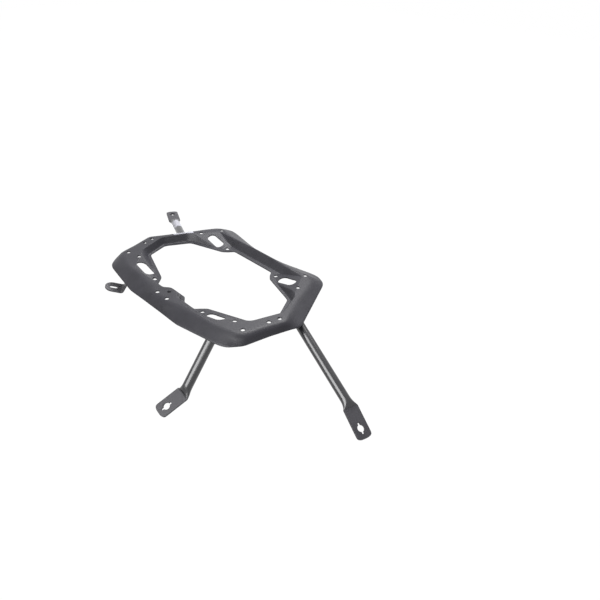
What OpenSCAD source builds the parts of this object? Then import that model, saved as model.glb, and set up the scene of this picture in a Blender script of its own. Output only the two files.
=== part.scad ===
// Pannier frame for the left side of a motorbike.
// One pressed steel ring with four gusset ramps, three tube stays with
// flattened ends, one folded bracket and two blank labels.
// Millimetres. The ring's flat crown is the plane z = 0, the origin is the
// centre of its four corner holes, and +x runs towards the front stay.

/* [Ring] */
// Length of the ring over its two ends
ring_len = 378; // [360:1:396]
// Width of the ring from the pad side to the waist side
ring_wid = 252.6; // [242:0.2:262]
// Height of the pressing from the rim to the crown
ring_h = 12; // [10:0.5:13]
// Thickness of the sheet
sheet_t = 2; // [1.5:0.1:2.5]
// Number of sections round the ring
sections = 160; // [120:8:200]

/* [Holes] */
// Diameter of the round holes in the ring
hole_d = 6.4; // [5.5:0.1:7]
// Spacing of the corner holes along the ring
corner_dx = 250; // [246:0.5:254]
// Spacing of the corner holes across the ring
corner_dy = 131; // [129:0.5:133]
// Spacing of the gusset tip holes along the ring
tip_dx = 126; // [124:0.5:127]
// Spacing of the gusset tip holes across the ring
tip_dy = 153; // [152:0.5:154]
// Spacing of the two outer pad holes
pad_dx = 25; // [22:0.5:27]
// Length of the slot in a gusset
slot_l = 34; // [30:0.5:36]
// Width of the slot in a gusset
slot_w = 17; // [15.5:0.5:17.5]
// Corner radius of the slot in a gusset
slot_r = 7.5; // [5:0.5:7.5]

/* [Stays] */
// Diameter of the stay tubes
tube_d = 15; // [14:0.5:16]
// Wall of the stay tubes
tube_wall = 2; // [1.5:0.1:2.5]
// Width of a flattened end
lug_w = 23; // [22:0.5:26]
// Thickness of a flattened end
lug_t = 4; // [3:0.1:5]
// Diameter of the keyhole's round part
key_d = 10.5; // [8.5:0.1:11]
// Width of the two notches of a keyhole
key_notch_w = 3.6; // [3:0.1:4]
// Length over both notches of a keyhole
key_l = 16; // [14:0.5:17]

/* [Bracket] */
// Thickness of the folded bracket
bracket_t = 3; // [2.5:0.1:4]
// Width of the folded bracket
bracket_w = 24.5; // [23:0.5:28]
// Length of the bracket's foot past the fold
foot_l = 29.5; // [27:0.5:35]
// Length of the slot in the foot
foot_slot_l = 14; // [12:0.5:15]
// Width of the slot in the foot
foot_slot_w = 8; // [7:0.5:9]

/* [Labels] */
// Length of the label on the rear stay
label_l = 40; // [30:0.5:42]
// Thickness of the label film
label_t = 0.2; // [0.1:0.05:0.3]

/* [Hidden] */
$fn = 40;
kx = ring_len / 378;
ky = ring_wid / 252.6;
deep = ring_h + sheet_t;

// Half outlines from the middle of the pad side round to the middle of the
// waist side. The other half is the mirror image.
// Inner edge of the flange
edge_line = [
    [0, -71.7], [12, -71.7], [23.3, -80.7], [48, -80.7], [53, -74], [61, -65.2], [136, -37.4],
    [147.5, 0.6], [126, 41.6], [62.5, 63], [55, 70], [48, 80.1], [0, 80.1]
];
// Outer edge of the flange, at the foot of the inner wall
foot_line = [
    [0, -76.2], [10.8, -76.2], [21.5, -85.2], [49, -85.2], [56, -77], [63.5, -69.6], [137, -42.4],
    [152.5, 0.6], [134, 44], [66, 67.8], [58, 74.5], [50.5, 86], [0, 86]
];
// Inner edge of the gusset ramps, and the top of the inner wall at the ends
ramp_line = [
    [0, -76.8], [10.6, -76.8], [21.2, -85.8], [49.5, -85.8], [57, -78], [65, -71], [88, -63.5],
    [131, -57], [141.5, -48], [157.5, 1], [140, 43], [131, 52.5], [88, 60.5], [68, 69],
    [59.5, 76], [51.5, 86.6], [0, 86.6]
];
// Outer edge of the ramps, at the foot of the rails' inner wall
rail_line = [
    [0, -77.4], [10.4, -77.4], [20.9, -86.4], [70, -86.9], [100, -88.2], [131.4, -57.4],
    [142, -48.4], [158, 1], [140.5, 43.3], [131.5, 53], [106, 94.3], [84, 89.6], [62, 87.8],
    [0, 87.8]
];
// Inner edge of the crown
crown_in = [
    [0, -80.6], [9.3, -80.6], [18.8, -89], [101, -89.6], [131.8, -57.8], [142.5, -48.8],
    [158.5, 1], [141, 43.6], [132, 53.5], [107, 95.5], [84, 95], [25, 98], [0, 98]
];
// Outer edge of the crown
crown_out = [
    [0, -110.5], [20, -110.5], [40, -102], [105, -96], [148, -86.5], [160, -77], [166, -50],
    [178, -11], [164, 6], [146, 44], [132, 80], [122, 99], [111, 106.5], [84, 99.5], [0, 100]
];
// Outer rim
rim_line = [
    [0, -123.6], [62, -123.6], [140, -109.3], [152, -104], [167, -85], [175.5, -44], [189, 4],
    [189, 9], [137, 113.5], [130, 121.5], [113, 129], [99, 128], [46, 117], [28, 114],
    [0, 113.8]
];
// Fold between crown and ramp, on the pad side and on the waist side
pad_fold = [[101, -88], [131, -57]];
waist_fold = [[106, 95], [130, 53]];

function fold_deg(a) = let (b = (a + 540) % 360 - 180) b > 90 ? 180 - b : b < -90 ? -180 - b : b;
function cross2(a, b) = a.x * b.y - a.y * b.x;
function ray_hit(a, b, c) = let (d = b - a, n = cross2(d, c), u = n == 0 ? -1 : -cross2(a, c) / n)
    u < -0.0001 || u > 1.0001 ? 0 : (a + u * d) * c;
function ray(line, a) = let (f = fold_deg(a), c = [cos(f), sin(f)])
    max([for (i = [0:len(line) - 2]) ray_hit(line[i], line[i + 1], c)]);
function soft(line, a) =
    (ray(line, a - 2) + 2 * ray(line, a - 1) + 2 * ray(line, a) + 2 * ray(line, a + 1) + ray(line, a + 2)) / 8;

// Height of a ramp at a point, between the flange and the crown
function past(p, l, c) = let (d = l[1] - l[0], n = [-d.y, d.x] / norm(d), s = (p - l[0]) * n)
    (c - l[0]) * n < 0 ? -s : s;
tip_x = 62.9;
tip_y = 76.6;
pad_run = past([tip_x, -tip_y], pad_fold, [0, 0]) - 7;
waist_run = past([tip_x, tip_y], waist_fold, [0, 0]) - 7;
function ramp_at(f, p) = f < -23.4
    ? -ring_h * min(1, max(0, past(p, pad_fold, [0, 0]) / pad_run))
    : f > 22.3 ? -ring_h * min(1, max(0, past(p, waist_fold, [0, 0]) / waist_run)) : 0;
function ramp_z(a, r) = let (f = fold_deg(a)) ramp_at(f, r * [cos(f), sin(f)]);

function mix(p, q, t) = p + (q - p) * t;
function bend(a, b, c, s, t) = let (p = mix(b, a, s), q = mix(b, c, t)) [p, (p + 2 * b + q) / 4, q];
function lean(p, q) = atan2(abs(q.y - p.y), abs(q.x - p.x));

// Section of the sheet at an angle, as [radius, z] points
function section(a) =
    let (
        e = [soft(edge_line, a), -ring_h],
        f = [max(soft(foot_line, a), e.x + 3), -ring_h],
        gr = max(soft(ramp_line, a), f.x + 0.4),
        g = [gr, ramp_z(a, gr)],
        wr = max(soft(rail_line, a), gr + 0.4),
        w = [wr, ramp_z(a, wr)],
        k = [max(soft(crown_in, a), wr + 0.4), 0],
        h = [max(soft(crown_out, a), k.x + 2.5), 0],
        m = [soft(rim_line, a), -ring_h],
        t = sheet_t,
        ga = t * tan(lean(f, g) / 2),
        ka = t * tan(lean(w, k) / 2),
        hl = lean(h, m),
        ft = [f.x + ga, -deep],
        gt = [g.x + ga, g.y - t],
        wt = [max(w.x + ka, gt.x + 0.2), w.y - t],
        kt = [max(k.x + ka, wt.x + 0.2), -t],
        ht = [max(h.x - t * tan(hl / 2), kt.x + 0.8), -t],
        mt = [m.x - t * sin(hl), -ring_h - t * cos(hl)]
    )
    concat(
        [e, f, g, w], bend(w, k, h, 0.2, 0.3), bend(k, h, m, 0.3, 0.25), [m, mt],
        bend(mt, ht, kt, 0.25, 0.3), bend(ht, kt, wt, 0.3, 0.2), [wt, gt, ft, [e.x, -deep]]
    );
function spin(a, s) = [for (p = s) [kx * p.x * cos(a), ky * p.x * sin(a), p.y]];
function flat(v) = [for (s = v, p = s) p];
function quads(n, m, i0, i1) = [
    for (i = [i0:i1], j = [0:m - 1], t = [0, 1])
        let (a = i * m + j, b = i * m + (j + 1) % m, c = ((i + 1) % n) * m + j, d = ((i + 1) % n) * m + (j + 1) % m)
            t == 0 ? [a, d, b] : [a, c, d]
];

// Solid of the sheet, all round or between two section numbers
module sheet_ring() {
    sec = [for (i = [0:sections - 1]) spin(i * 360 / sections, section(i * 360 / sections))];
    m = len(sec[0]);
    polyhedron(flat(sec), quads(sections, m, 0, sections - 1), convexity = 12);
}

// Everything above the sheet's underside between two section numbers
module over(i0, i1) {
    sec = [
        for (i = [i0:i1])
            let (a = i * 360 / sections, s = section(a))
                spin(a, concat([for (j = [11:21]) s[j]], [[s[21].x, 60], [s[11].x, 60]]))
    ];
    m = len(sec[0]);
    n = len(sec);
    ends = [[for (j = [0:m - 1]) j], [for (j = [m - 1:-1:0]) (n - 1) * m + j]];
    polyhedron(flat(sec), concat(quads(n + 1, m, 0, n - 2), ends), convexity = 12);
}

module hole_at(x, y) {
    translate([kx * x, ky * y, -deep - 2])
        cylinder(h = deep + 4, d = hole_d);
}

module slot_at(x, y) {
    r = slot_r;
    translate([kx * x, ky * y, -deep - 2]) {
        translate([-slot_l / 2 + r, -slot_w / 2, 0])
            cube([slot_l - 2 * r, slot_w, deep + 4]);
        translate([-slot_l / 2, -slot_w / 2 + r, 0])
            cube([slot_l, slot_w - 2 * r, deep + 4]);
        for (sx = [-1, 1], sy = [-1, 1])
            translate([sx * (slot_l / 2 - r), sy * (slot_w / 2 - r), 0])
                cylinder(h = deep + 4, r = r);
    }
}

module ring() {
    color("#3a3a40")
        difference() {
            sheet_ring();
            for (s = [-1, 1]) {
                hole_at(s * corner_dx / 2, -corner_dy / 2);
                hole_at(s * corner_dx / 2, corner_dy / 2);
                hole_at(s * tip_dx / 2, -tip_dy / 2);
                hole_at(s * tip_dx / 2, tip_dy / 2);
                hole_at(s * 149, -71);
                hole_at(s * 108, 100.6);
                hole_at(s * 165, -14.2);
                hole_at(s * 160.6, -31.2);
                hole_at(s * pad_dx / 2, -104);
                slot_at(s * 93, -74.5);
                slot_at(s * 93, 73.5);
            }
            hole_at(0, -90.8);
        }
}

// Axes of a stay: where the tube leaves the ring, where it is pinched flat,
// the directions of tube and flat end, and the direction across the flat end
function on_ring(p) = [kx * p.x, ky * p.y, p.z];
rear_root = on_ring([-204.5, 71.3, -27.8]);
rear_dir = [-0.8893, 0.4346, -0.1423];
rear_len = 64.7;
rear_in = 80;
rear_flat = [-0.881, 0.469, -0.1054];
rear_across = [0.467, 0.878, 0];
rear_flat_l = 55.5;
rear_key = 39;
front_root = on_ring([174.3, 20.3, -25.1]);
front_dir = [0.9007, -0.2096, -0.3803];
front_len = 144.1;
front_in = 45;
front_flat = [0.844, -0.248, -0.474];
front_across = [0.32, 0.94, 0.06];
front_flat_l = 49;
front_key = 33.9;
lower_root = on_ring([119, -107, -20]);
lower_dir = [-0.002, -0.608, -0.794];
lower_len = 83;
lower_in = 26;
lower_flat = [-0.215, -0.870, -0.443];
lower_across = [0.952, -0.066, -0.300];
lower_flat_l = 45;
lower_key = 30.5;

function unit(v) = v / norm(v);
function axes(u, w) = let (a = unit(u), n = unit(cross(a, w)), b = cross(n, a)) [a, b, n];
module placed(o, u, w) {
    f = axes(u, w);
    multmatrix([
        [f[0].x, f[1].x, f[2].x, o.x],
        [f[0].y, f[1].y, f[2].y, o.y],
        [f[0].z, f[1].z, f[2].z, o.z],
        [0, 0, 0, 1]
    ])
        children();
}

// Flattened end with a keyhole, along x, from the pinch at the origin
module flat_end(l, key) {
    cut = 7;
    difference() {
        translate([0, 0, -lug_t / 2])
            linear_extrude(lug_t)
                polygon(concat(
                    [[0, lug_w / 2], [0, -lug_w / 2]],
                    [
                        for (t = [-90:15:90])
                            [l - cut + cut * pow(cos(t), 0.7), sign(t) * lug_w / 2 * pow(abs(sin(t)), 0.7)]
                    ]
                ));
        translate([key, 0, -lug_t])
            cylinder(h = 2 * lug_t, d = key_d);
        translate([key - key_l / 2, -key_notch_w / 2, -lug_t])
            cube([key_l, key_notch_w, 2 * lug_t]);
    }
}

// Stations of the pinch: distance before the flat end, and how flat it is
pinch = 15;
stations = [[pinch + 0.5, 0], [10.5, 0.06], [7.5, 0.2], [4.5, 0.48], [2, 0.8], [-1, 1]];
function swell(c, p) = sign(c) * pow(abs(c), p);
function oval(c, a, b, hw, hh, p) = [
    for (i = [0:31])
        let (t = i * 360 / 32) c + a * hw * swell(cos(t), p) + b * hh * swell(sin(t), p)
];

// Solid where a round tube goes over into its flat end
module pinched(tip, dir, flat_dir, across) {
    f0 = axes(dir, across);
    f1 = axes(flat_dir, across);
    sec = [
        for (s = stations)
            let (k = s[1], g = k < 0.6 ? 0 : k < 1 ? 0.5 : 1, u = unit(mix(f0[1], f1[1], g)), v = unit(mix(f0[2], f1[2], g)))
            oval(
                tip - s[0] * (s[0] > 0 ? f0[0] : f1[0]), u, v,
                mix(tube_d, lug_w, k) / 2 - 0.05, mix(tube_d, lug_t, k) / 2 - 0.05, mix(1, 0.35, k)
            )
    ];
    n = len(sec);
    ends = [[for (j = [31:-1:0]) j], [for (j = [0:31]) (n - 1) * 32 + j]];
    sides = [
        for (i = [0:n - 2], j = [0:31], t = [0, 1])
            let (a = i * 32 + j, b = i * 32 + (j + 1) % 32)
                t == 0 ? [a, b, b + 32] : [a, b + 32, a + 32]
    ];
    polyhedron(flat(sec), concat([for (q = sides) [q[2], q[1], q[0]]], [for (e = ends) [for (k = [len(e) - 1:-1:0]) e[k]]]));
}

// Tube with its far end pinched flat; the near end reaches back by inner
module stay(root, dir, l, inner, flat_dir, across, flat_l, key) {
    tip = root + l * unit(dir);
    start = root - inner * unit(dir);
    placed(start, dir, across)
        rotate([0, 90, 0])
            difference() {
                cylinder(h = l + inner - pinch, d = tube_d);
                translate([0, 0, -1])
                    cylinder(h = l + inner - pinch - 3, d = tube_d - 2 * tube_wall);
            }
    pinched(tip, dir, flat_dir, across);
    placed(tip, flat_dir, across)
        flat_end(flat_l, key);
}

// Space that the inner end of a stay keeps to, outside the ring's opening
reach = 400;
module front_space() {
    translate([kx * 138, -reach, -reach])
        cube([reach, 2 * reach, reach + 20]);
}

module rear_space() {
    near = -kx * 134;
    rotate([90, 0, 0])
        linear_extrude(2 * reach, center = true)
            polygon([[near - reach, 20], [near, 20], [near, -deep], [near - 90, -deep - 52], [near - reach, -deep - 52]]);
}

module front_stay() {
    color("#2e2e33")
        difference() {
            intersection() {
                stay(front_root, front_dir, front_len, front_in, front_flat, front_across, front_flat_l, front_key);
                front_space();
            }
            over(0, ceil(sections * 0.085));
        }
}

module rear_stay() {
    color("#2e2e33")
        difference() {
            intersection() {
                stay(rear_root, rear_dir, rear_len, rear_in, rear_flat, rear_across, rear_flat_l, rear_key);
                rear_space();
            }
            over(floor(sections * 0.4), ceil(sections * 0.49));
        }
}

module lower_stay() {
    color("#2e2e33")
        difference() {
            stay(lower_root, lower_dir, lower_len, lower_in, lower_flat, lower_across, lower_flat_l, lower_key);
            over(floor(sections * 0.81), ceil(sections * 0.95));
        }
}

// Folded bracket: an upright leg under the ring's corner and a slotted foot
fold_at = on_ring([-113.2, -109.3, -41.8]);
fold_dir = [0.77, -0.638, 0];
foot_dir = [-0.638, -0.73, 0.245];
leg_dir = [0.35, 0.38, 0.857];
leg_l = 48;
module leg() {
    placed(fold_at, fold_dir, leg_dir)
        translate([-bracket_w / 2, 0, -bracket_t / 2])
            cube([bracket_w, leg_l, bracket_t]);
}

module bracket() {
    half = bracket_w / 2;
    slot_in = foot_l / 2 + 1 - (foot_slot_l - foot_slot_w) / 2;
    color("#34343a")
        difference() {
            union() {
                placed(fold_at, foot_dir, fold_dir)
                    difference() {
                        translate([0, 0, -bracket_t / 2])
                            linear_extrude(bracket_t)
                                polygon(concat(
                                    [[0, half], [0, -half]],
                                    [for (t = [-90:15:90]) [foot_l - 12 + 12 * cos(t), half * sin(t)]]
                                ));
                        translate([slot_in, 0, -bracket_t])
                            cylinder(h = 2 * bracket_t, d = foot_slot_w);
                        translate([slot_in + foot_slot_l - foot_slot_w, 0, -bracket_t])
                            cylinder(h = 2 * bracket_t, d = foot_slot_w);
                        translate([slot_in, -foot_slot_w / 2, -bracket_t])
                            cube([foot_slot_l - foot_slot_w, foot_slot_w, 2 * bracket_t]);
                    }
                placed(fold_at, fold_dir, leg_dir)
                    translate([-bracket_w / 2, 0, 0])
                        rotate([0, 90, 0])
                            cylinder(h = bracket_w, d = bracket_t);
                leg();
            }
            over(floor(sections * 0.57), ceil(sections * 0.67));
        }
}

// Blank label over the outer edge of the rear end
module ring_label() {
    lift = 0.08;
    i0 = round(sections * 0.4375);
    i1 = round(sections * 0.475);
    sec = [
        for (i = [i0:i1])
            let (
                a = i * 360 / sections,
                h = [max(soft(crown_out, a), soft(crown_in, a) + 2.5), 0],
                k = [soft(crown_in, a), 0],
                m = [soft(rim_line, a), -ring_h],
                n = [sin(lean(h, m)), cos(lean(h, m))],
                line = concat(bend(k, h, m, 0.3, 0.25), [mix(h, m, 0.6)]),
                tilt = [[0, 1], unit([0, 1] + n), n, n]
            )
            spin(a, concat(
                [for (j = [0:3]) line[j] + (lift + label_t) * tilt[j]],
                [for (j = [3:-1:0]) line[j] + lift * tilt[j]]
            ))
    ];
    n = len(sec);
    ends = [[for (j = [0:7]) j], [for (j = [7:-1:0]) (n - 1) * 8 + j]];
    color("#e9e9ec")
        polyhedron(flat(sec), concat(quads(n + 1, 8, 0, n - 2), ends));
}

// Blank label wrapped over the top of the rear stay, short of the pinch
label_gap = 2;
module stay_label() {
    color("#e9e9ec")
        placed(rear_root + (rear_len - pinch - label_gap - label_l) * unit(rear_dir), rear_dir, rear_across)
            intersection() {
                rotate([0, 90, 0])
                    difference() {
                        cylinder(h = label_l, d = tube_d + 2 * label_t);
                        translate([0, 0, -1])
                            cylinder(h = label_l + 2, d = tube_d);
                    }
                translate([-1, -tube_d, -tube_d])
                    cube([label_l + 2, 2 * tube_d, tube_d]);
            }
}

// Sub-part to build

ring();
front_stay();
rear_stay();
lower_stay();
bracket();
ring_label();
stay_label();
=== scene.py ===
"""Looks of a motorbike's pannier frame: pressed ring, three tube stays, folded bracket, two blank labels."""

import logging
import math
from dataclasses import dataclass
from enum import Enum, IntEnum
from functools import lru_cache
from typing import Any, Sequence

import bpy
import numpy as np
from mathutils import Matrix, Vector


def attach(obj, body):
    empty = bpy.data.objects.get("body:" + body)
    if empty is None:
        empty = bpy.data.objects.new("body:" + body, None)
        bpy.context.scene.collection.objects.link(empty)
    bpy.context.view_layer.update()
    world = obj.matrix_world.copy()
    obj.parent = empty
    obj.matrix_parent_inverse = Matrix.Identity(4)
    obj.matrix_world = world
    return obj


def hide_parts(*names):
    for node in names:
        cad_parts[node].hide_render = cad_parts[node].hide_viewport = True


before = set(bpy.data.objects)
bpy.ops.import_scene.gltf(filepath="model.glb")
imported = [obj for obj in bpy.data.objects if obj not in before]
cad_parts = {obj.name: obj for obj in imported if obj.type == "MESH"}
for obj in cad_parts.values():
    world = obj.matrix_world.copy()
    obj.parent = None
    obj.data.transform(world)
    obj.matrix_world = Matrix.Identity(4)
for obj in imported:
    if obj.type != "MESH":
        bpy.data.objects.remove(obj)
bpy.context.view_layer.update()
MM = 0.001
FAR = 400.0
LEG_SHARE = 0.46
CM3_IN_M3 = 1e6
log = logging.getLogger("pannier_frame")

Piece = bpy.types.Object
Material = bpy.types.Material
Array = np.ndarray
Point2 = tuple[float, float]
Point3 = tuple[float, float, float]
Cutter = tuple[list[Point3], list[list[int]]]


# Geometry


def unit(v: Sequence[float]) -> Array:
    """Returns the vector scaled to length one."""
    v = np.asarray(v, float)
    return v / np.linalg.norm(v)


def blend(a: Any, b: Any, t: float) -> Any:
    """Returns the number or point at share t of the way from a to b."""
    return a + (b - a) * t


def ease(t: float) -> float:
    """Returns the share t with a soft start and a soft end."""
    return t * t * (3 - 2 * t)


def arc(radius: float, first: float, last: float, count: int) -> list[Point2]:
    """Returns count points on an arc about the origin, between two angles in degrees."""
    return [(radius * math.cos(a), radius * math.sin(a)) for a in np.radians(np.linspace(first, last, count))]


def circle(radius: float, sides: int) -> list[Point2]:
    """Returns the corner points of a round outline with that many sides."""
    return arc(radius, 0, 360, sides + 1)[:-1]


def bend(a: Array, b: Array, c: Array, shares: Sequence[float]) -> list[Array]:
    """Returns points, at the given shares, of the round curve that leaves a towards b and ends at c."""
    return [(1 - t) ** 2 * a + 2 * t * (1 - t) * b + t * t * c for t in shares]


def curve_corner(a: Array, b: Array, c: Array, reach: float, count: int) -> list[Array]:
    """Rounds the corner b between the points a and c.

    Args:
        a: Point before the corner.
        b: The corner.
        c: Point after the corner.
        reach: How far the round reaches along each leg, in mm.
        count: Number of points on the round.

    Returns:
        The points of the round, from the leg towards a to the leg towards c.
    """
    to_a, to_c = np.linalg.norm(a - b), np.linalg.norm(c - b)
    start = blend(b, a, min(reach, LEG_SHARE * to_a) / max(to_a, 1e-6))
    finish = blend(b, c, min(reach, LEG_SHARE * to_c) / max(to_c, 1e-6))
    return bend(start, b, finish, np.linspace(0, 1, count))


def fill_between(a: Array, b: Array, count: int) -> list[Array]:
    """Returns count points strictly between a and b."""
    return [blend(a, b, k / (count + 1)) for k in range(1, count + 1)]


def mirror_angle(angle: Array) -> Array:
    """Folds angles in degrees onto the half of the ring that lies towards +x."""
    turned = (angle + 540.0) % 360.0 - 180.0
    return np.where(turned > 90, 180 - turned, np.where(turned < -90, -180 - turned, turned))


@dataclass(frozen=True)
class PlanLine:
    """One closed plan line of the ring, given as half of it; the other half mirrors it.

    Attributes:
        points: Corner points of the half line, in mm, from the pad side to the waist side.
        spread: Width of the bell that rounds the corners, in degrees.
    """

    points: tuple[Point2, ...]
    spread: float = 1.22

    def hit(self, angle: Array) -> Array:
        """Finds the radius at which rays from the centre meet the line.

        Args:
            angle: Ray angles in degrees.

        Returns:
            Radii in mm.
        """
        tiny, slack = 1e-9, 1e-4
        folded = mirror_angle(angle)
        cx, cy = np.cos(np.radians(folded)), np.sin(np.radians(folded))
        best = np.zeros_like(folded)
        for (ax, ay), (bx, by) in zip(self.points, self.points[1:]):
            dx, dy = bx - ax, by - ay
            slant = dx * cy - dy * cx
            parallel = np.abs(slant) < tiny
            share = -(ax * cy - ay * cx) / np.where(parallel, tiny, slant)
            radius = (ax + share * dx) * cx + (ay + share * dy) * cy
            missed = parallel | (share < -slack) | (share > 1 + slack)
            best = np.maximum(best, np.where(missed, 0, radius))
        return best

    def soft(self, angle: Array) -> Array:
        """Finds the radius with the line's corners rounded.

        Args:
            angle: Ray angles in degrees.

        Returns:
            Radii in mm, each a bell-shaped mean over the angles nearby.
        """
        reach, count = 3.5, 29
        near = np.linspace(-reach, reach, count)
        weight = np.exp(-0.5 * (near / self.spread) ** 2)
        total = sum(w * self.hit(angle + t) for t, w in zip(near, weight))
        return total / weight.sum()


class Corner(IntEnum):
    """Corners of the sheet's section, from the opening outwards."""

    EDGE = 0
    FOOT = 1
    RAMP = 2
    RAIL = 3
    CROWN_IN = 4
    CROWN_OUT = 5
    RIM = 6


PLAN = {
    Corner.EDGE: PlanLine((
        (0, -71.7), (12, -71.7), (23.3, -80.7), (48, -80.7), (53, -74), (61, -65.2), (136, -37.4),
        (147.5, 0.6), (126, 41.6), (62.5, 63), (55, 70), (48, 80.1), (0, 80.1),
    )),
    Corner.FOOT: PlanLine((
        (0, -76.2), (10.8, -76.2), (21.5, -85.2), (49, -85.2), (56, -77), (63.5, -69.6), (137, -42.4),
        (152.5, 0.6), (134, 44), (66, 67.8), (58, 74.5), (50.5, 86), (0, 86),
    )),
    Corner.RAMP: PlanLine((
        (0, -76.8), (10.6, -76.8), (21.2, -85.8), (49.5, -85.8), (57, -78), (65, -71), (88, -63.5),
        (131, -57), (141.5, -48), (157.5, 1), (140, 43), (131, 52.5), (88, 60.5), (68, 69),
        (59.5, 76), (51.5, 86.6), (0, 86.6),
    )),
    Corner.RAIL: PlanLine((
        (0, -77.4), (10.4, -77.4), (20.9, -86.4), (70, -86.9), (100, -88.2), (131.4, -57.4),
        (142, -48.4), (158, 1), (140.5, 43.3), (131.5, 53), (106, 94.3), (84, 89.6), (62, 87.8), (0, 87.8),
    )),
    Corner.CROWN_IN: PlanLine((
        (0, -80.6), (9.3, -80.6), (18.8, -89), (101, -89.6), (131.8, -57.8), (142.5, -48.8),
        (158.5, 1), (141, 43.6), (132, 53.5), (107, 95.5), (84, 95), (25, 98), (0, 98),
    )),
    Corner.CROWN_OUT: PlanLine((
        (0, -110.5), (20, -110.5), (40, -102), (105, -96), (148, -86.5), (160, -77), (166, -50),
        (178, -11), (164, 6), (146, 44), (132, 80), (122, 99), (111, 106.5), (84, 99.5), (0, 100),
    )),
    Corner.RIM: PlanLine((
        (0, -123.6), (62, -123.6), (140, -109.3), (152, -104), (167, -85), (175.5, -44), (189, 4),
        (189, 9), (137, 113.5), (130, 121.5), (113, 129), (99, 128), (46, 117), (28, 114), (0, 113.8),
    )),
}


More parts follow.
